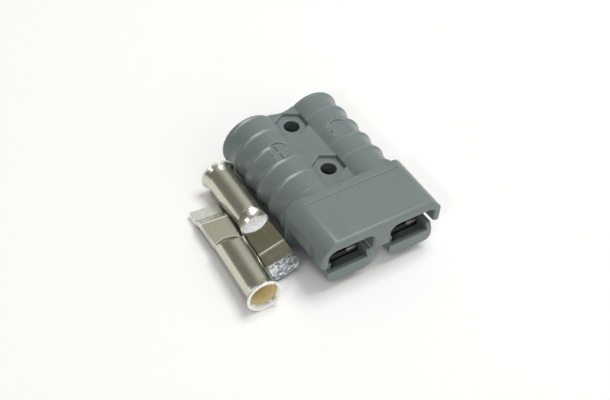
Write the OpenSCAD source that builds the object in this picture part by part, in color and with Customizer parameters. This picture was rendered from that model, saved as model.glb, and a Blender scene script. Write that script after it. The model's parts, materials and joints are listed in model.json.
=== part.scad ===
// Genderless two-pole power connector kit, 50 A size: a moulded housing that mates with another
// one like it turned over, the two leaf springs inside it, and its two crimp contacts lying
// beside it before they are fitted.
//
// Frame: millimetres, +Z up, the mating front faces -Y and the cable end faces +Y.
// The origin is the centre of the flat foot under the head's shoulder, where the mate's hood
// stops, on the plane that the kit rests on.

/* [Housing] */
// Width over the mating head
head_w = 35.2; // [34.6:0.2:38]
// Height of the housing, and diameter of each barrel
body_h = 16; // [15:0.5:17]
// Length from the mating front to the cable end
body_l = 48; // [46:0.5:52]
// Length of the mating head, in front of the barrels
head_l = 17.3; // [17:0.1:18]
// Depth that the mate's troughs go in under the hood
mating_depth = 16; // [15:0.25:16.5]
// Distance between the axes of the two barrels
pole_pitch = 18; // [17.6:0.1:18.4]
// Radius along the top edges of the head
head_edge_r = 5; // [3:0.5:6]

/* [Hood] */
// Thickness of the hood's roof
roof_t = 2.3; // [1.8:0.1:2.5]
// Thickness of the hood's side legs
leg_t = 2.1; // [1.6:0.1:2.2]
// Thickness of the leg between the poles
middle_leg_t = 5.1; // [4.6:0.1:5.2]
// Radius in the top corners of each mating window
window_r = 2.2; // [1:0.1:2.6]
// Radius of the rounded lead-in at the front ends of the legs
lead_in_r = 0.7; // [0.4:0.1:0.9]
// Diameter of the round dimple in each flank
dimple_d = 4; // [3:0.5:4.5]

/* [Troughs] */
// Outside width of each contact trough
trough_w = 12.6; // [12:0.1:12.7]
// Height of the trough's underside above the resting plane
trough_lift = 2.5; // [2.4:0.1:3]
// Thickness of the trough's side walls
trough_wall = 1.3; // [1:0.1:1.6]
// Thickness of the trough's floor
trough_floor = 1.2; // [1:0.1:1.4]
// Height of the lip's top edge above the resting plane
lip_z = 6.1; // [5.5:0.1:6.4]
// Radius along the lower edges of the trough
trough_edge_r = 1.8; // [1:0.1:2]

/* [Barrels] */
// Diameter of the cable entry in each barrel
entry_d = 10.4; // [10:0.1:11]
// Distance between two ribs of the finger grip
rib_pitch = 5.6; // [5.2:0.1:5.6]
// Depth of the scallops between the ribs at the outer flank
scallop_depth = 0.7; // [0.3:0.1:0.8]
// Thickness of the web between the barrels
web_t = 12; // [11:0.5:13]

/* [Mounting holes] */
// Diameter of each mounting hole
hole_d = 4.2; // [3.5:0.1:4.4]
// Distance between the mounting holes
hole_pitch = 17.5; // [17:0.1:17.8]
// Distance from the mating front to the front hole
front_hole_y = 24.5; // [24:0.1:25]
// Width across flats of the nut recess
nut_flats = 7.6; // [7:0.1:7.8]
// Depth of the nut recess
nut_depth = 1; // [0.6:0.1:1.6]

/* [Contacts] */
// Length of a contact
contact_l = 35; // [34:0.5:36]
// Outside diameter of the crimp barrel
barrel_d = 7.7; // [7.5:0.1:8]
// Bore of the crimp barrel
barrel_bore_d = 6.2; // [5.7:0.1:6.4]
// Diameter of the flared mouth
flare_d = 9.5; // [9:0.1:9.6]
// Depth of the crimp bore
barrel_bore_l = 16; // [15:0.5:16.5]
// Thickness of the contact blade
blade_t = 2.2; // [1.8:0.1:2.4]

/* [Springs] */
// Width of a leaf spring
spring_w = 8.8; // [7:0.2:9]
// Thickness of the spring strip
spring_t = 0.6; // [0.4:0.1:0.7]
// Rise of the spring's arch above the trough floor
spring_rise = 2.6; // [2:0.1:3]

/* [Hidden] */
$fn = 96;
moulding_grey = "#7c8686";
silver_plate = "#c9c6ba";
spring_steel = "#b9b6ac";
pole_x = pole_pitch / 2;
barrel_r = body_h / 2;
mid_z = body_h / 2;
front_y = -(mating_depth + head_l) / 2;
rear_y = front_y + body_l;
block_y = front_y + mating_depth;
head_rear_y = front_y + head_l;
leg_z = mid_z + 0.2;
leg_rise_angle = 2.2;
leg_edge_r = 0.8;
window_top_z = body_h - roof_t;
floor_z = trough_lift + trough_floor;
web_top_z = mid_z + web_t / 2;
wall_end_slope = 0.8;
through = 1;
mark_r = 3.1;
mark_y = front_y + 33.3;
mark_floor_z = body_h - 0.6;
rib_r = barrel_r - 0.03;
rib_crest_w = 0.4;
rib_shift = 0.3;
core_shift = 0.5;
scallop_count = 6;
last_rib_y = body_l - 1.1;
scallop_chord = rib_pitch - rib_crest_w;
scallop_r = (scallop_chord ^ 2 / 4 + scallop_depth ^ 2) / (2 * scallop_depth);
spring_back_y = 18.6;
spring_heel_y = 14;
spring_crest_y = 5;
outer_r = barrel_d / 2;
bore_r = barrel_bore_d / 2;
mouth_r = flare_d / 2;
facet_y = 15.1;
facet_angle = 53;
fold_y = 6.9;
landing_z = -1.7;
tip_depth = 3.7;
tip_half_w = 3.9;
tip_round_r = 0.6;
rim_y = contact_l - 0.25;
rest_pitch = atan((mouth_r - tip_depth) / (rim_y - tip_round_r));
rest_roll = atan(tip_half_w / tip_depth) - acos(mouth_r / norm([tip_half_w, tip_depth]));

// ---- helpers ----

// Extrudes a profile drawn in the X-Z plane from y = a to y = b.
module along_y(a, b) {
    translate([0, b, 0]) rotate([90, 0, 0]) linear_extrude(b - a) children();
}

// Extrudes a profile drawn in the Y-Z plane over the width w, centred on x = 0.
module across_x(w) {
    translate([-w / 2, 0, 0]) rotate([90, 0, 90]) linear_extrude(w) children();
}

// Turns a profile drawn as (radius, y) about the Y axis.
module turned() {
    rotate([-90, 0, 0]) rotate_extrude() children();
}

// Box from its low corner to its high corner.
module box(low, high) {
    translate(low) cube(high - low);
}

// Puts a copy at each pole, the right one mirrored from the left.
module each_pole() {
    for (side = [-1, 1]) scale([side, 1, 1]) children();
}

// Rectangle from low to high with its round corners listed as [corner x sign, corner y sign, radius].
module rounded(low, high, corners) {
    difference() {
        translate(low) square(high - low);
        for (c = corners) {
            at = [c[0] < 0 ? low[0] : high[0], c[1] < 0 ? low[1] : high[1]];
            centre = at - [c[0] * c[2], c[1] * c[2]];
            difference() {
                translate([min(at[0], centre[0]), min(at[1], centre[1])]) square(c[2]);
                translate(centre) circle(c[2]);
            }
        }
    }
}

// Points of an arc, between two angles in degrees.
function arc(centre, r, first, last, steps = 8) =
    [for (k = [0 : steps]) let (a = first + (last - first) * k / steps) centre + r * [cos(a), sin(a)]];

// ---- housing ----

// Rounded block of the mating head before the mating space is opened.
module head_blank() {
    half = head_w / 2;
    intersection() {
        along_y(front_y, head_rear_y)
            rounded([-half, 0], [half, body_h], [
                [-1, 1, head_edge_r], [1, 1, head_edge_r], [-1, -1, 4], [1, -1, 4]
            ]);
        linear_extrude(body_h + through)
            rounded([-half, front_y], [half, head_rear_y], [
                [-1, -1, 1], [1, -1, 1], [-1, 1, 1.2], [1, 1, 1.2]
            ]);
        across_x(head_w + 2 * through)
            rounded([front_y, 0], [head_rear_y, body_h], [[-1, 1, 1.2], [1, 1, 0.8]]);
    }
}

// Space under the hood for the mate's trough, one pole.
module mating_window() {
    inner_x = middle_leg_t / 2;
    outer_x = head_w / 2 - leg_t;
    along_y(front_y - through, block_y)
        rounded([inner_x, -through], [outer_x, window_top_z], [[-1, 1, window_r], [1, 1, window_r]]);
    // rounded lead-in at the front ends of the legs
    wide_r = window_r + lead_in_r;
    intersection() {
        along_y(front_y - through, front_y + lead_in_r)
            rounded([inner_x - lead_in_r, -through], [outer_x + lead_in_r, window_top_z],
                [[-1, 1, wide_r], [1, 1, wide_r]]);
        linear_extrude(body_h) difference() {
            translate([inner_x - lead_in_r, front_y - through])
                square([outer_x - inner_x + 2 * lead_in_r, through + lead_in_r]);
            for (x = [inner_x - lead_in_r, outer_x + lead_in_r])
                translate([x, front_y + lead_in_r]) circle(lead_in_r);
        }
    }
}

// Space below one side leg, whose lower edge is rounded and rises a little towards the front.
module under_side_leg() {
    half = head_w / 2;
    translate([0, block_y, leg_z]) rotate([-leg_rise_angle, 0, 0]) along_y(-mating_depth - 2 * through, 0) {
        translate([pole_x, -through]) square([half, through]);
        difference() {
            translate([half - leg_edge_r, -0.1]) square([leg_edge_r + through, leg_edge_r + 0.1]);
            translate([half - leg_edge_r, leg_edge_r]) circle(leg_edge_r);
        }
    }
}

// Everything in front of the block that the mate fills.
module mating_space() {
    box([-head_w, front_y - through, -through], [head_w, block_y, leg_z]);
    each_pole() {
        mating_window();
        under_side_leg();
    }
}

// Open-fronted trough that carries one contact and slides under the mate's hood.
module trough() {
    half = trough_w / 2;
    inner = half - trough_wall;
    translate([pole_x, 0, 0]) difference() {
        along_y(front_y, block_y + 0.5)
            rounded([-half, trough_lift], [half, mid_z], [[-1, -1, trough_edge_r], [1, -1, trough_edge_r]]);
        along_y(front_y + trough_wall, block_y + through)
            translate([-inner, floor_z]) square([2 * inner, body_h]);
        // the walls' ends slope down to the lip
        across_x(trough_w + through)
            polygon([
                [front_y - through, lip_z], [front_y, lip_z], [front_y + wall_end_slope, mid_z],
                [front_y + wall_end_slope, mid_z + through], [front_y - through, mid_z + through]
            ]);
    }
}

// Smooth core of one barrel: round towards the web, a little flatter on the outer flank.
module barrel_core() {
    along_y(block_y + 0.4, rear_y - 1) intersection() {
        translate([pole_x, mid_z]) circle(barrel_r);
        translate([pole_x - core_shift, mid_z]) circle(barrel_r);
    }
}

// Finger grip of one barrel: ribs round its outer flank with hollow scallops between them.
module finger_grip() {
    start = mating_depth + 0.4;
    translate([pole_x + rib_shift, front_y, mid_z]) turned() difference() {
        translate([0, start]) rounded([0, 0], [rib_r, body_l - start], [[1, 1, 0.9]]);
        for (k = [0 : scallop_count - 1])
            translate([rib_r - scallop_depth + scallop_r, last_rib_y - (k + 0.5) * rib_pitch])
                circle(scallop_r);
    }
}

// Web between the barrels, hollowed a little at the cable end.
module web() {
    hollow_r = 8;
    difference() {
        box([-pole_x / 2, block_y + 0.4, mid_z - web_t / 2], [pole_x / 2, rear_y - 0.5, web_top_z]);
        translate([0, rear_y - 1.2 + hollow_r, 0]) cylinder(r = hollow_r, h = body_h);
    }
}

// Way through one pole for its contact: the cable entry, then a flat passage into the trough.
module contact_way() {
    shoulder_y = block_y + 3;
    passage_w = 9.2;
    translate([pole_x, shoulder_y, mid_z]) turned() square([entry_d / 2, rear_y - shoulder_y + through]);
    translate([pole_x, rear_y - 0.6, mid_z]) turned()
        polygon([[0, 0], [entry_d / 2, 0], [entry_d / 2 + 0.7, 0.7], [0, 0.7]]);
    box([pole_x - passage_w / 2, block_y - 0.1, floor_z],
        [pole_x + passage_w / 2, shoulder_y + 0.1, mid_z + 1]);
}

// Mounting hole with a six-sided nut recess at its top.
module mounting_hole() {
    translate([0, 0, -through]) cylinder(d = hole_d, h = body_h + 2 * through);
    translate([0, 0, web_top_z - nut_depth]) rotate([0, 0, 30])
        cylinder(d = nut_flats / cos(30), h = body_h, $fn = 6);
}

// Round pocket on a barrel's crown.
module mark_pocket() {
    translate([pole_x, mark_y, mark_floor_z]) cylinder(r = mark_r, h = body_h);
}

// Raised polarity sign in a pocket: a bar, crossed by another one for plus.
module polarity_sign(plus) {
    length = 4.6;
    line = 0.6;
    rise = 0.25;
    for (turn = plus ? [0, 90] : [0])
        rotate([0, 0, turn]) translate([-length / 2, -line / 2, -0.1]) cube([length, line, rise + 0.1]);
}

module housing() {
    color(moulding_grey) {
        difference() {
            union() {
                difference() {
                    head_blank();
                    mating_space();
                }
                each_pole() trough();
                each_pole() barrel_core();
                each_pole() finger_grip();
                web();
            }
            each_pole() contact_way();
            for (y = [front_hole_y, front_hole_y + hole_pitch])
                translate([0, front_y + y, 0]) mounting_hole();
            each_pole() mark_pocket();
            // round dimple in each flank of the hood
            dimple_ball_r = 4;
            each_pole()
                translate([head_w / 2 + sqrt(dimple_ball_r ^ 2 - dimple_d ^ 2 / 4), front_y + 5.4, 10.8])
                    sphere(dimple_ball_r);
            // fine line across the top of the head
            box([-13.7, front_y + 14.2, body_h - 0.2], [13.7, front_y + 14.5, body_h + through]);
        }
        translate([-pole_x, mark_y, mark_floor_z]) polarity_sign(true);
        translate([pole_x, mark_y, mark_floor_z]) polarity_sign(false);
    }
}

// ---- leaf springs ----

// Height of the spring's underside above the trough floor, at y measured from the mating front.
function spring_height(y) =
    spring_rise * (1 - cos(180 * (spring_heel_y - y) / (spring_heel_y - spring_crest_y))) / 2;

// Arched strip lying on the trough floor, its front end turned down behind the contact's tip.
module leaf_spring(side) {
    steps = 18;
    arch = [for (k = [0 : steps]) let (y = spring_heel_y - (spring_heel_y - spring_crest_y) * k / steps)
        [y, spring_height(y)]];
    nose = [[spring_crest_y - 0.8, spring_rise - 0.2], [spring_crest_y - 1.3, spring_rise - 1.1]];
    low = concat([[spring_back_y, 0]], arch, nose);
    high = [for (p = low) p + [0, spring_t]];
    color(spring_steel)
        translate([side * pole_x, front_y, floor_z])
            across_x(spring_w) polygon(concat(low, [for (k = [len(high) - 1 : -1 : 0]) high[k]]));
}

module leaf_spring_left() leaf_spring(-1);
module leaf_spring_right() leaf_spring(1);

// ---- contacts ----

// Side view of the blade with its folded tip, as (y, z).
module blade_side() {
    fold_r = 1.5;
    slope = 35;
    foot_y = 3.7;
    polygon(concat(
        [[facet_y + 4, -blade_t], [facet_y + 4, 0]],
        arc([fold_y, -fold_r], fold_r, 90, 90 + slope),
        arc([foot_y, landing_z + 1], 1, 270 + slope, 270),
        arc([tip_round_r, landing_z - 0.2 - tip_round_r], tip_round_r, 90, 180),
        arc([tip_round_r, tip_round_r - tip_depth], tip_round_r, 180, 270),
        [[foot_y - 0.6, -tip_depth], [fold_y - 1, -blade_t]]
    ));
}

// Half widths of the blade from the tip to inside the barrel, as (half width, y).
module blade_plan() {
    edge = [
        [tip_half_w - 0.5, 0], [tip_half_w, 0.5], [3.7, fold_y],
        [3.55, facet_y - 3], [3.25, facet_y], [2.4, facet_y + 4]
    ];
    polygon(concat(edge, [for (k = [len(edge) - 1 : -1 : 0]) [-edge[k][0], edge[k][1]]]));
}

// Crimp contact drawn with its axis on the Y axis, the tip at y = 0 and the open mouth at contact_l.
module contact() {
    crown_r = 1.5;
    crown = [facet_y + 3.65, outer_r + 0.05 - crown_r];
    difference() {
        union() {
            // barrel with its flared mouth
            translate([0, contact_l, 0]) turned() polygon([
                [0, facet_y - contact_l], [outer_r, facet_y - contact_l],
                [outer_r, -2.6], [outer_r + 0.2, -1.4], [mouth_r - 0.2, -0.55],
                [mouth_r, rim_y - contact_l], [mouth_r - 0.1, -0.05], [mouth_r - 0.3, 0], [0, 0]
            ]);
            intersection() {
                across_x(flare_d) blade_side();
                translate([0, 0, -mouth_r]) linear_extrude(mouth_r) blade_plan();
            }
        }
        // sheared facet from the barrel's rounded crown down to the blade
        across_x(flare_d)
            polygon(concat(
                [[facet_y - 3, crown[1] + 2 * crown_r], [facet_y - 3, 0.001], [facet_y, 0.001]],
                arc(crown, crown_r, 90 + facet_angle, 90), [[crown[0], crown[1] + 2 * crown_r]]
            ));
        // matching cut below the blade
        across_x(flare_d) polygon([
            [facet_y, -blade_t], [facet_y + 1.2, -mouth_r],
            [facet_y - 1, -mouth_r], [facet_y - 1, -blade_t]
        ]);
        // crimp bore and its funnel
        translate([0, contact_l - barrel_bore_l, 0]) turned() square([bore_r, barrel_bore_l]);
        translate([0, contact_l, 0]) turned()
            polygon([[0, -2], [bore_r, -2], [bore_r + 0.25, -0.9], [mouth_r - 0.65, 0.01], [0, 0.01]]);
    }
}

// Contact lying beside the housing, from the place and height of its tip and its three turns.
module lying_contact(tip, height, turns) {
    color(silver_plate) translate([tip[0], front_y + tip[1], height]) rotate(turns) contact();
}

// The first contact leans over on its rim and one corner of its tip.
module contact_1() lying_contact([-22.3, 8.2], mouth_r, [0, -rest_roll, -1.9]);

// The second contact lies flat on its rim and its tip, the other way round.
module contact_2() {
    tip_z = tip_depth * cos(rest_pitch) - tip_round_r * sin(rest_pitch);
    lying_contact([-28.8, 37.3], tip_z, [rest_pitch, 0, 175.5]);
}

housing();
leaf_spring_left();
leaf_spring_right();
contact_1();
contact_2();
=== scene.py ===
"""Genderless two-pole power connector kit: housing, two leaf springs and two loose crimp contacts."""

import json
import math

import bmesh
import bpy
from mathutils import Matrix, Vector


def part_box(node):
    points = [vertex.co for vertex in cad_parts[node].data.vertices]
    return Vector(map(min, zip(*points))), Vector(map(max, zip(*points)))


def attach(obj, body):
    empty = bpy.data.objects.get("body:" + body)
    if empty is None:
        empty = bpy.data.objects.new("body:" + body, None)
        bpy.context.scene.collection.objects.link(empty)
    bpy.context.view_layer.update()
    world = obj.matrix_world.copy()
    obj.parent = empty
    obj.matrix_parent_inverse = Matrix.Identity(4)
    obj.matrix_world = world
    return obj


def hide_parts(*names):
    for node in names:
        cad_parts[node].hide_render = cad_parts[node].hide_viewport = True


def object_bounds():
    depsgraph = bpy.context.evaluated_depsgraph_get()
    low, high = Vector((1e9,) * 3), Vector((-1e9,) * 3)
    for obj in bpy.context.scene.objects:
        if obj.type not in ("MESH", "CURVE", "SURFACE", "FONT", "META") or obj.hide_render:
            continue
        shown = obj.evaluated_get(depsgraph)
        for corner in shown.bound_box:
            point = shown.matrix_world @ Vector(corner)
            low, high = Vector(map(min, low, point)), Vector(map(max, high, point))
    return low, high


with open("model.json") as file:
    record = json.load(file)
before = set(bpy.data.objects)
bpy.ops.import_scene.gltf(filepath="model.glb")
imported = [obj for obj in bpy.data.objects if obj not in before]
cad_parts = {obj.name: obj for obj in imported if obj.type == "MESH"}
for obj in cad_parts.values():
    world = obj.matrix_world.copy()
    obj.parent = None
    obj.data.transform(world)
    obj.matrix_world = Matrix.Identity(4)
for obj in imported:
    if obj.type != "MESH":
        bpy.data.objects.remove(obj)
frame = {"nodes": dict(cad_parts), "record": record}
cad_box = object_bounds()

MM = 0.001
cad_nodes = frame["nodes"]
mounts = {m["name"]: m for m in frame["record"]["mounts"]}
mating_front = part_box("housing")[0].y


# ---- camera ----

# Angles in degrees, and the distance from the aim, which is measured from the foot of the mating front.
# The lens and the sensor's width are in millimetres, the clipping range is in metres.
CAMERA_AZIMUTH = -36.484
CAMERA_ELEVATION = 46.259
CAMERA_ROLL = 5.517
CAMERA_DISTANCE = 332.3 * MM
CAMERA_AIM = Vector((-8.17, 22.05, 8.0)) * MM
CAMERA_LENS = 78.5
CAMERA_SENSOR = 36
CAMERA_CLIP = (0.01, 10)


def away_from_kit(azimuth, elevation):
    a, e = math.radians(azimuth), math.radians(elevation)
    return Vector((math.sin(a) * math.cos(e), -math.cos(a) * math.cos(e), math.sin(e)))


def make_camera():
    azimuth = math.radians(CAMERA_AZIMUTH)
    back = away_from_kit(CAMERA_AZIMUTH, CAMERA_ELEVATION)
    right = Vector((math.cos(azimuth), math.sin(azimuth), 0))
    up = back.cross(right)
    turn = Matrix.Rotation(math.radians(CAMERA_ROLL), 3, back)
    right, up = turn @ right, turn @ up
    data = bpy.data.cameras.new("camera")
    data.sensor_width = CAMERA_SENSOR
    data.lens = CAMERA_LENS
    data.clip_start, data.clip_end = CAMERA_CLIP
    camera = bpy.data.objects.new("camera", data)
    bpy.context.scene.collection.objects.link(camera)
    pose = Matrix((right, up, back)).transposed().to_4x4()
    pose.translation = Vector((0, mating_front, 0)) + CAMERA_AIM + back * CAMERA_DISTANCE
    camera.matrix_world = pose
    bpy.context.scene.camera = camera


# ---- node building blocks ----


class Nodes:
    """Short calls for the nodes that this scene uses. A value given to one is a socket or a constant."""

    def __init__(self, tree):
        self.tree = tree

    def node(self, kind, inputs=None, **settings):
        made = self.tree.nodes.new(kind)
        for key, value in settings.items():
            setattr(made, key, value)
        for key, value in (inputs or {}).items():
            self.feed(made.inputs[key], value)
        return made

    def feed(self, socket, value):
        if isinstance(value, bpy.types.NodeSocket):
            self.tree.links.new(value, socket)
        else:
            socket.default_value = value

    def math(self, operation, a, b=0.0):
        return self.node("ShaderNodeMath", {0: a, 1: b}, operation=operation).outputs[0]

    def product(self, first, *others):
        for other in others:
            first = self.math("MULTIPLY", first, other)
        return first

    def one_minus(self, value):
        return self.math("SUBTRACT", 1.0, value)

    def distance(self, a, b):
        """How far two values are apart."""
        return self.math("ABSOLUTE", self.math("SUBTRACT", a, b))

    def radius(self, a, b):
        """The distance from the origin to a, b."""
        return self.math("SQRT", self.math("ADD", self.product(a, a), self.product(b, b)))

    def vector(self, operation, a, b=(0, 0, 0), output="Vector"):
        return self.node("ShaderNodeVectorMath", {0: a, 1: b}, operation=operation).outputs[output]

    def dot(self, a, b):
        return self.vector("DOT_PRODUCT", a, b, "Value")

    def times(self, vector, number):
        made = self.node("ShaderNodeVectorMath", {0: vector, "Scale": number}, operation="SCALE")
        return made.outputs["Vector"]

    def stretched(self, vector, scales):
        """Scales x, y and z apart, so a noise is drawn out where its scale is small."""
        return self.vector("MULTIPLY", vector, scales)

    def parts(self, vector):
        return self.node("ShaderNodeSeparateXYZ", {"Vector": vector}).outputs[:3]

    def span(self, value, low, high, to_low=0.0, to_high=1.0, shape="LINEAR"):
        """Turns low..high into to_low..to_high, and holds those beyond the ends."""
        made = self.node("ShaderNodeMapRange", {
            "Value": value, "From Min": low, "From Max": high, "To Min": to_low, "To Max": to_high,
        }, interpolation_type=shape, clamp=True)
        return made.outputs["Result"]

    def below(self, value, low, high):
        """1 up to low, fading to 0 at high."""
        return self.span(value, low, high, 1.0, 0.0)

    def mix(self, share, a, b):
        """Colour a, with this share of it changed to b."""
        return self.node("ShaderNodeMix", {0: share, 6: a, 7: b}, data_type="RGBA").outputs[2]

    def mix_vectors(self, share, a, b):
        return self.node("ShaderNodeMix", {0: share, 4: a, 5: b}, data_type="VECTOR").outputs[1]


class Shader(Nodes):
    """A new material and its nodes."""

    def __init__(self, name):
        self.material = bpy.data.materials.new(name)
        self.material.use_nodes = True
        super().__init__(self.material.node_tree)
        self.bsdf = self.tree.nodes["Principled BSDF"]
        self.output = self.tree.nodes["Material Output"]

    def look(self, name, value):
        """Sets one input of the material's surface."""
        self.feed(self.bsdf.inputs[name], value)

    def object_place(self):
        return self.node("ShaderNodeTexCoord").outputs["Object"]

    def noise(self, vector, scale, detail=3.0, roughness=0.5, distortion=0.0):
        made = self.node("ShaderNodeTexNoise", {
            "Vector": vector, "Scale": scale, "Detail": detail,
            "Roughness": roughness, "Distortion": distortion,
        })
        return made.outputs["Fac"]

    def bump(self, height, distance, strength, normal):
        made = self.node("ShaderNodeBump", {
            "Height": height, "Distance": distance, "Strength": strength, "Normal": normal,
        })
        return made.outputs["Normal"]

    def sharp_edges(self, reach, low, high):
        """1 along convex edges and 0 on open faces, from how soon rays sent inwards leave the solid."""
        made = self.node(
            "ShaderNodeAmbientOcclusion", {"Distance": reach}, samples=8, inside=True, only_local=True)
        return self.below(made.outputs["AO"], low, high)

    def rounded_edges(self, radius):
        return self.node("ShaderNodeBevel", {"Radius": radius}, samples=6).outputs["Normal"]


def srgb(red, green, blue):
    """Linear colour of an 8-bit display colour."""
    linear = [
        (c / 255 / 12.92) if c <= 10 else ((c / 255 + 0.055) / 1.055) ** 2.4
        for c in (red, green, blue)
    ]
    return (*linear, 1.0)


# In the materials, a pair of sizes is where a mask starts to change and where it has changed fully.

# ---- moulding material ----

# The axes of the two barrels, and the distances from one between which the crests of its ribs lie.
POLE_X = 9.0 * MM
BARREL_Z = 8.0 * MM
CREST_INSIDE = (7.5 * MM, 7.6 * MM)
CREST_OUTSIDE = (8.05 * MM, 8.12 * MM)

# The ribs along y: where they start, how far apart they are, the last crest and half a crest's width.
RIBS_START = (4.0 * MM, 4.5 * MM)
RIB_PITCH = 5.6 * MM
LAST_CREST = 30.25 * MM
CREST_HALF = (0.15 * MM, 0.55 * MM)

# How strongly the crests get a painted highlight, from the left flank to where that has nearly ended.
CREST_HIGHLIGHT_X = (-13 * MM, -7 * MM)
CREST_HIGHLIGHT_SHARES = (1.0, 0.08)

# The mounting holes, whose walls get painted shade.
HOLES_Y = (7.85 * MM, 25.35 * MM)
HOLE_RADIUS = (2.12 * MM, 2.2 * MM)
HOLE_SHADE = 0.45

MOULDING_TONES = (srgb(117, 128, 129), srgb(124, 134, 135))
SPECKLE = srgb(138, 147, 147)
HOLE_PAINTED_SHADE = srgb(50, 54, 54)
EDGE_HIGHLIGHT = srgb(172, 184, 182)
CREST_HIGHLIGHT = srgb(206, 215, 213)


def moulded_grey():
    """Glass-filled grey moulding: faint flow marks, fine eroded grain, soft edges with a painted
    highlight, rib crests with a painted highlight, and painted shade in the mounting holes.
    """
    s = Shader("moulded_grey")
    place = s.object_place()
    x, y, z = s.parts(place)

    flow = s.noise(s.stretched(place, (1.0, 0.35, 1.0)), 120, detail=4, distortion=0.8)
    speckle = s.noise(place, 5200, detail=2)
    tone = s.mix(s.span(flow, 0.3, 0.7), *MOULDING_TONES)
    tone = s.mix(s.span(speckle, 0.35, 0.75, 0.0, 0.22), tone, SPECKLE)
    # Painted shade on the walls of the mounting holes.
    for hole_y in HOLES_Y:
        from_hole = s.radius(x, s.math("SUBTRACT", y, hole_y))
        tone = s.mix(s.span(from_hole, *HOLE_RADIUS, HOLE_SHADE, 0.0), tone, HOLE_PAINTED_SHADE)
    # Painted highlight along convex edges.
    edge_highlight = s.product(s.sharp_edges(0.6 * MM, 0.55, 0.8), 0.4)
    tone = s.mix(edge_highlight, tone, EDGE_HIGHLIGHT)

    # Painted highlight along the rib crests, strongest on the left flank.
    across = s.math("SUBTRACT", s.math("ABSOLUTE", x), POLE_X)
    from_pole = s.radius(across, s.math("SUBTRACT", z, BARREL_Z))
    from_crest = s.math("PINGPONG", s.math("SUBTRACT", y, LAST_CREST), RIB_PITCH / 2)
    crest = s.product(
        s.below(from_crest, *CREST_HALF),
        s.span(y, *RIBS_START),
        s.below(from_pole, *CREST_OUTSIDE),
        s.span(from_pole, *CREST_INSIDE),
        s.span(x, *CREST_HIGHLIGHT_X, *CREST_HIGHLIGHT_SHARES),
    )
    s.look("Base Color", s.mix(crest, tone, CREST_HIGHLIGHT))

    sheen = s.noise(place, 420, detail=5, roughness=0.6)
    s.look("Roughness", s.span(sheen, 0.3, 0.7, 0.30, 0.42))
    s.look("Specular IOR Level", 0.45)

    waves = s.noise(place, 260, detail=2)
    grain = s.noise(place, 7000, roughness=0.65)
    normal = s.rounded_edges(0.55 * MM)
    normal = s.bump(waves, 0.05 * MM, 0.35, normal)
    s.look("Normal", s.bump(grain, 0.012 * MM, 0.5, normal))
    return s.material


# ---- spring material ----

# The strip with a painted highlight on the crest: its middle, beside the pole and behind the front, and
# half its size.
STRIP_BESIDE = 3.0 * MM
STRIP_BEHIND = 5.2 * MM
STRIP_HALF_WIDTH = (1.3 * MM, 1.6 * MM)
STRIP_HALF_LENGTH = (0.9 * MM, 1.3 * MM)

SPRING_SHADE_TONES = (srgb(58, 60, 64), srgb(68, 71, 74))
STRIP_HIGHLIGHT = srgb(226, 214, 196)


def spring_steel(pole_x):
    """Steel strip with rolling lines, darkened as painted shade, with a painted highlight on its crest.
    """
    s = Shader("spring_steel")
    place = s.object_place()
    x, y, _ = s.parts(place)
    # Painted highlight on the spring's crest.
    strip_highlight = s.product(
        s.below(s.distance(x, pole_x + STRIP_BESIDE), *STRIP_HALF_WIDTH),
        s.below(s.distance(y, mating_front + STRIP_BEHIND), *STRIP_HALF_LENGTH),
    )
    # The steel tone is darkened as painted shade.
    tone = s.mix(s.noise(place, 300), *SPRING_SHADE_TONES)
    s.look("Base Color", s.mix(strip_highlight, tone, STRIP_HIGHLIGHT))
    s.look("Metallic", 1.0)
    lines = s.noise(s.stretched(place, (1.0, 0.03, 1.0)), 6000, detail=4)
    s.look("Roughness", s.span(lines, 0.3, 0.7, 0.32, 0.45))
    s.look("Normal", s.bump(lines, 0.004 * MM, 0.6, s.rounded_edges(0.08 * MM)))
    return s.material


# ---- contact material ----

# Places along a contact, measured from its tip. The bore's mount is in the middle of its straight part.
LANDING_END = 3.7 * MM
FOLD_LINE = 6.9 * MM
FACET_START = 15.1 * MM
BORE_START = 19.0 * MM
BORE_MIDDLE = 26.0 * MM
RIM_START = 34.3 * MM

# The barrel's foot: half its width, how far its arc reaches out over the blade, how high its sheared
# lens rises, the heights over which the dome above bulges more and more, and how upright the arc is.
FOOT_HALF_WIDTH = 3.7 * MM
ARC_REACH = 1.6 * MM
LENS_RISE = 1.5 * MM
DOME_RISE = (0.5 * MM, 3.9 * MM)
ARC_UPRIGHT = 0.9

PLATE_TONES = (srgb(232, 230, 219), srgb(224, 221, 206))
PLATE_STREAK = srgb(206, 202, 184)
# Painted shade on faces that turn sideways or down.
PLATE_FLANK_SHADE = srgb(206, 203, 186)
# Painted highlight along the fold line.
FOLD_HIGHLIGHT = srgb(252, 250, 242)
# Shear lines on the lens, in whites that are a painted highlight.
LENS_HIGHLIGHT_TONES = (srgb(214, 218, 220), srgb(255, 255, 255))
# Painted highlight along the edge of the arc's patch.
BRINK_HIGHLIGHT = srgb(250, 250, 244)
BORE_GOLD = srgb(255, 242, 198)
# Painted reflection on the rim: white glints with dark spots.
RIM_REFLECTION_TONES = (srgb(254, 254, 252), srgb(120, 118, 110))


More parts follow.
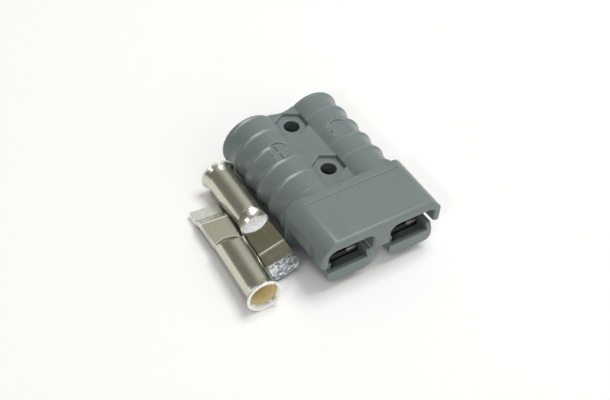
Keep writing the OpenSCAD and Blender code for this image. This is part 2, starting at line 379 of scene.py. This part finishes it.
class ContactShader(Shader):
    """A contact's material, with a mask for each part of the contact, found from its bore's mount.

    lean is how far the contact is turned about its axis, in degrees. coined says that the side in view
    has the sheared lens at the barrel's foot.
    """

    def __init__(self, bore, lean, coined):
        super().__init__("silver_plate_" + bore["name"])
        self.coined = coined
        self.axis = Vector(bore["axis"]).normalized()
        upright = (Vector((0, 0, 1)) - self.axis * self.axis.z).normalized()
        self.upright = Matrix.Rotation(math.radians(lean), 3, self.axis) @ upright
        self.side = self.upright.cross(self.axis)

        self.place = self.object_place()
        self.faces = self.node("ShaderNodeNewGeometry").outputs["Normal"]
        from_bore = self.vector("SUBTRACT", self.place, bore["pos_m"])
        along = self.dot(from_bore, self.axis)
        self.on_axis = self.times(self.axis, along)
        self.off_axis = self.vector("SUBTRACT", from_bore, self.on_axis)
        self.from_tip = self.math("ADD", along, BORE_MIDDLE)
        self.mask_ends(bore["dims"]["r_mm"] * MM)
        self.mask_foot()

    def mask_ends(self, bore_radius):
        """Masks the torn landing at the tip, the fold behind it, the inside of the bore and its rim."""
        self.landing = self.below(self.from_tip, LANDING_END - 0.2 * MM, LANDING_END + 0.3 * MM)
        self.fold = self.below(self.distance(self.from_tip, FOLD_LINE), 0.12 * MM, 0.32 * MM)
        from_axis = self.vector("LENGTH", self.off_axis, output="Value")
        self.bore = self.product(
            self.below(from_axis, bore_radius + 0.10 * MM, bore_radius + 0.35 * MM),
            self.span(self.from_tip, BORE_START - 0.1 * MM, BORE_START),
        )
        self.rim = self.product(
            self.span(self.from_tip, RIM_START, RIM_START + 0.3 * MM), self.one_minus(self.bore))

    def mask_foot(self):
        """Masks where the barrel ends on the blade.

        The facet is the barrel's end. The lens lies across its foot and the dome is the rest of it. The
        patch is what the barrel's arc covers of the blade, and the brink is the edge of that patch.
        """
        towards_tip = self.product(self.dot(self.faces, self.axis), -1.0)
        facet = self.product(
            self.span(towards_tip, 0.6, 0.7),
            self.span(self.from_tip, FACET_START - 0.6 * MM, FACET_START),
        )
        self.beside = self.math("DIVIDE", self.dot(self.off_axis, self.side), FOOT_HALF_WIDTH)
        self.ahead = self.math("SUBTRACT", FACET_START, self.from_tip)
        arc = self.one_minus(self.product(self.beside, self.beside))
        in_front = self.span(self.ahead, -0.1 * MM, 0.1 * MM)

        to_arc = self.math("SUBTRACT", self.product(arc, ARC_REACH), self.ahead)
        self.patch = self.product(self.span(to_arc, 0.0, 0.15 * MM), in_front)
        self.brink = self.product(
            self.below(self.math("ABSOLUTE", to_arc), 0.05 * MM, 0.2 * MM), in_front)
        self.blade = self.product(
            self.below(self.from_tip, FACET_START, FACET_START + 0.1 * MM), self.one_minus(self.patch))

        height = self.dot(self.off_axis, self.upright)
        to_dome = self.math("SUBTRACT", self.product(arc, LENS_RISE), height)
        under_dome = self.product(self.span(to_dome, -0.2 * MM, 0.2 * MM), facet)
        self.lens = self.math("MAXIMUM", under_dome, self.patch) if self.coined else 0.0
        self.dome = self.product(facet, self.one_minus(under_dome), self.span(height, *DOME_RISE))

    def rounded_foot(self, normal):
        """The normal, bent at the barrel's end as if that were rounded down to the blade."""
        bent = self.dome
        outwards = self.vector("NORMALIZE", self.off_axis)
        if not self.coined:
            forwards = self.times(-self.axis, self.math("DIVIDE", self.ahead, ARC_REACH))
            over_arc = self.vector("ADD", self.times(self.side, self.beside), forwards)
            over_arc = self.vector("ADD", over_arc, self.upright * ARC_UPRIGHT)
            outwards = self.mix_vectors(self.patch, outwards, self.vector("NORMALIZE", over_arc))
            bent = self.math("MAXIMUM", bent, self.patch)
        kept = self.times(normal, self.one_minus(bent))
        return self.vector("NORMALIZE", self.vector("ADD", kept, self.times(outwards, bent)))


def silver_plate(bore, lean, coined, torn_depth, torn_tones_with_reflection, blade_tones_with_reflection):
    """Silver-plated copper: soft drawn sheen, sheared faces whose white is painted highlight, painted
    highlights on the fold and the arc's edge, a painted reflection on the rim, painted shade on the
    flanks, and a golden cast in the bore.

    torn_depth is how rough the landing at the tip is. The torn and blade tone pairs are the two colours
    that mottle the landing and the blade; contact 1's pairs are darker, a painted shade and reflection.
    """
    s = ContactShader(bore, lean, coined)
    drawn_out = s.vector("ADD", s.off_axis, s.times(s.on_axis, 0.05))
    streaks = s.noise(drawn_out, 1500, roughness=0.55)
    cloud = s.noise(s.place, 200, distortion=0.3)
    torn = s.noise(s.stretched(s.place, (0.7, 0.9, 1.0)), 1300, detail=5, roughness=0.7, distortion=0.8)
    shear_lines = s.noise(s.stretched(s.place, (0.6, 2.2, 2.2)), 1900, roughness=0.6)
    spots = s.noise(s.place, 700, detail=2)
    # Where the painted shade of the flanks lies: faces that turn sideways or down.
    flank = s.below(s.parts(s.faces)[2], 0.42, 0.56)

    tone = s.mix(s.span(cloud, 0.3, 0.75), *PLATE_TONES)
    for share, colour in (
        (s.span(streaks, 0.45, 0.8, 0.0, 0.3), PLATE_STREAK),
        (flank, PLATE_FLANK_SHADE),
        (s.blade, s.mix(cloud, *blade_tones_with_reflection)),
        (s.fold, FOLD_HIGHLIGHT),
        (s.landing, s.mix(s.span(torn, 0.44, 0.58), *torn_tones_with_reflection)),
        (s.lens, s.mix(s.span(shear_lines, 0.35, 0.6), *LENS_HIGHLIGHT_TONES)),
        (s.product(s.brink, 0.7), BRINK_HIGHLIGHT),
        (s.bore, BORE_GOLD),
        (s.rim, s.mix(s.span(spots, 0.64, 0.70), *RIM_REFLECTION_TONES)),
    ):
        tone = s.mix(share, tone, colour)
    s.look("Base Color", tone)

    # The painted highlights and reflection on the lens, rim, brink and fold are made less metallic, so
    # their white shows.
    dull = s.product(s.bore, 0.6)
    for part, share in ((s.lens, 1.0), (s.rim, 0.7), (s.landing, 0.35), (s.brink, 0.6), (s.fold, 0.5)):
        dull = s.math("MAXIMUM", dull, s.product(part, share))
    s.look("Metallic", s.one_minus(dull))

    rough = s.span(streaks, 0.3, 0.75, 0.20, 0.30)
    for part, added in ((s.landing, 0.12), (s.lens, 0.25), (s.bore, 0.2)):
        rough = s.math("ADD", rough, s.product(part, added))
    s.look("Roughness", rough)

    marks = s.math(
        "ADD", s.product(s.landing, torn_depth, torn), s.product(s.lens, 0.5, shear_lines))
    normal = s.rounded_edges(0.2 * MM)
    normal = s.bump(cloud, 0.05 * MM, 0.2, normal)
    normal = s.bump(streaks, 0.004 * MM, 0.5, normal)
    normal = s.bump(marks, 0.30 * MM, 0.8, normal)
    s.look("Normal", s.rounded_foot(normal))
    return s.material


# ---- floor material ----

FLOOR_WHITE = (0.95, 0.95, 0.95, 1)
FLOOR_GLOW = 0.12

# Painted shade in narrow gaps: where things within this reach leave only so much sky open, as in a
# narrow gap, the floor's white and its glow fall to this share.
GAP_REACH = 8 * MM
GAP_SKY = (0.15, 0.5)
GAP_SHADE = 0.12


def white_floor():
    """Floor that shows as the white of the background where no shadow falls, with painted shade in
    narrow gaps.
    """
    s = Shader("white_floor")
    s.tree.nodes.remove(s.bsdf)
    sky = s.node("ShaderNodeAmbientOcclusion", {"Distance": GAP_REACH}, samples=16).outputs["AO"]
    in_open = s.span(sky, *GAP_SKY, GAP_SHADE, 1.0)
    white = s.mix(in_open, (0, 0, 0, 1), FLOOR_WHITE)
    diffuse = s.node("ShaderNodeBsdfDiffuse", {"Color": white}).outputs[0]
    rays = s.node("ShaderNodeLightPath").outputs
    seen = s.math("MAXIMUM", rays["Is Glossy Ray"], rays["Is Transmission Ray"])
    seen = s.math("MAXIMUM", rays["Is Camera Ray"], seen)
    strength = s.product(seen, in_open, FLOOR_GLOW)
    glow = s.node("ShaderNodeEmission", {"Color": (1, 1, 1, 1), "Strength": strength}).outputs[0]
    both = s.node("ShaderNodeAddShader", {0: diffuse, 1: glow}).outputs[0]
    s.feed(s.output.inputs["Surface"], both)
    return s.material


# ---- pieces ----

# Sizes of the troughs, measured from their poles, the mating front and the resting plane.
TROUGH_INNER_HALF = 5.0 * MM
TROUGH_WALL = 1.3 * MM
LIP_Z = 6.1 * MM
LIP_THICKNESS = 1.3 * MM

# The cut that lowers a trough's front wall: its top, and how far it goes past the lip and the walls.
CUT_TOP = 9.0 * MM
CUT_PAST_LIP = 0.1 * MM
CUT_PAST_FRONT = 1.0 * MM
CUT_PAST_WALL = MM / 3

# Points closer than this are joined, and an edge sharper than this angle stays sharp.
SAME_POINT = 0.0005 * MM
SHARP_ANGLE = math.radians(25)


def dress(item, material):
    """Gives a whole object one material."""
    item.data.materials.clear()
    item.data.materials.append(material)


def apply_modifiers(item):
    shaped = item.evaluated_get(bpy.context.evaluated_depsgraph_get())
    item.data = bpy.data.meshes.new_from_object(shaped)
    item.modifiers.clear()


def welded_copy(mesh):
    """Copy of a mesh as one joined skin, without the shading stored in it."""
    mesh = mesh.copy()
    for name in ("custom_normal", "sharp_edge", "sharp_face"):
        if name in mesh.attributes:
            mesh.attributes.remove(mesh.attributes[name])
    skin = bmesh.new()
    skin.from_mesh(mesh)
    bmesh.ops.remove_doubles(skin, verts=skin.verts, dist=SAME_POINT)
    skin.to_mesh(mesh)
    skin.free()
    return mesh


def lip_boxes():
    """A box over each trough's lip, which also takes the front end of the trough's left wall."""
    mesh = bpy.data.meshes.new("lip_boxes")
    boxes = bmesh.new()
    for pole_x in (-POLE_X, POLE_X):
        left = pole_x - TROUGH_INNER_HALF - TROUGH_WALL - CUT_PAST_WALL
        low = Vector((left, mating_front - CUT_PAST_FRONT, LIP_Z))
        high = Vector((
            pole_x + TROUGH_INNER_HALF, mating_front + LIP_THICKNESS + CUT_PAST_LIP, CUT_TOP))
        place = Matrix.Translation((low + high) / 2) @ Matrix.Diagonal((*(high - low), 1))
        bmesh.ops.create_cube(boxes, size=1, matrix=place)
    boxes.to_mesh(mesh)
    boxes.free()
    return mesh


def shade_smooth(item):
    """Smooth shading between sharp edges, which leaves broad faces flat."""
    for face in item.data.polygons:
        face.use_smooth = True
    item.data.set_sharp_from_angle(angle=SHARP_ANGLE)
    smooth = item.modifiers.new("smooth", "WEIGHTED_NORMAL")
    smooth.mode = "FACE_AREA_WITH_ANGLE"
    smooth.keep_sharp = True
    smooth.weight = 100
    apply_modifiers(item)


def trimmed_housing():
    """The housing with the front wall of each trough cut down to its lip."""
    housing = bpy.data.objects.new("housing_moulding", welded_copy(cad_nodes["housing"].data))
    cutter = bpy.data.objects.new("lip_cutter", lip_boxes())
    for item in (housing, cutter):
        bpy.context.scene.collection.objects.link(item)
    cut = housing.modifiers.new("lips", "BOOLEAN")
    cut.operation = "DIFFERENCE"
    cut.solver = "EXACT"
    cut.object = cutter
    apply_modifiers(housing)
    bpy.data.objects.remove(cutter)
    shade_smooth(housing)
    dress(housing, moulded_grey())
    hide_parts("housing")
    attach(housing, "root")


# ---- floor and light ----

FLOOR_SIZE = 2.0
FLOOR_DROP = 0.02 * MM

# A part is a colour, its direction, and the cosines at which it starts and is full.
ROOM_DARK = (0.19, 0.185, 0.16, 1)
ROOM_PARTS = (
    ((0.44, 0.44, 0.39, 1), (1, 0.25, 0.5), 0.1, 0.75),
    ((0.85, 0.86, 0.86, 1), (0.2, -1, 0.0), 0.45, 0.9),
    ((0.42, 0.42, 0.41, 1), (0, 0, 1), 0.85, 1.0),
)


def make_floor():
    half = FLOOR_SIZE / 2
    top = cad_box[0].z - FLOOR_DROP
    corners = [(-half, -half, top), (half, -half, top), (half, half, top), (-half, half, top)]
    mesh = bpy.data.meshes.new("floor")
    mesh.from_pydata(corners, [], [(0, 1, 2, 3)])
    floor = bpy.data.objects.new("floor", mesh)
    dress(floor, white_floor())
    bpy.context.scene.collection.objects.link(floor)


def make_world():
    world = bpy.data.worlds.new("studio")
    bpy.context.scene.world = world
    world.use_nodes = True
    world.node_tree.nodes.clear()
    n = Nodes(world.node_tree)
    direction = n.node("ShaderNodeTexCoord").outputs["Generated"]
    room = ROOM_DARK
    for colour, way, start, full in ROOM_PARTS:
        facing = n.dot(direction, Vector(way).normalized())
        room = n.mix(n.span(facing, start, full, shape="SMOOTHSTEP"), room, colour)
    background = n.node("ShaderNodeBackground", {"Color": room}).outputs[0]
    n.node("ShaderNodeOutputWorld", {0: background})


def softbox(name, azimuth, elevation, distance, size, power):
    back = away_from_kit(azimuth, elevation)
    data = bpy.data.lights.new(name, "AREA")
    data.shape = "SQUARE"
    data.size = size
    data.energy = power
    lamp = bpy.data.objects.new(name, data)
    lamp.location = (cad_box[0] + cad_box[1]) / 2 + back * distance
    lamp.rotation_mode = "QUATERNION"
    lamp.rotation_quaternion = (-back).to_track_quat("-Z", "Y")
    bpy.context.scene.collection.objects.link(lamp)


make_camera()
trimmed_housing()
for side, pole_x in (("left", -POLE_X), ("right", POLE_X)):
    dress(cad_nodes["leaf_spring_" + side], spring_steel(pole_x))
# Contact 1's landing and blade tones are darker than contact 2's, as painted shade and reflection.
dress(cad_nodes["contact_1"], silver_plate(
    mounts["crimp_bore_1"], lean=-18.6, coined=True, torn_depth=1.0,
    torn_tones_with_reflection=(srgb(118, 128, 142), srgb(248, 250, 253)),
    blade_tones_with_reflection=(srgb(180, 176, 154), srgb(166, 162, 140)),
))
dress(cad_nodes["contact_2"], silver_plate(
    mounts["crimp_bore_2"], lean=0.0, coined=False, torn_depth=0.4,
    torn_tones_with_reflection=(srgb(238, 240, 236), srgb(255, 255, 255)),
    blade_tones_with_reflection=(srgb(226, 224, 212), srgb(218, 216, 202)),
))
make_floor()
make_world()
softbox("key", azimuth=95, elevation=70, distance=0.7, size=0.30, power=2.6)
softbox("front", azimuth=-52, elevation=40, distance=0.8, size=0.07, power=0.8)
bpy.context.scene.view_settings.view_transform = "Standard"
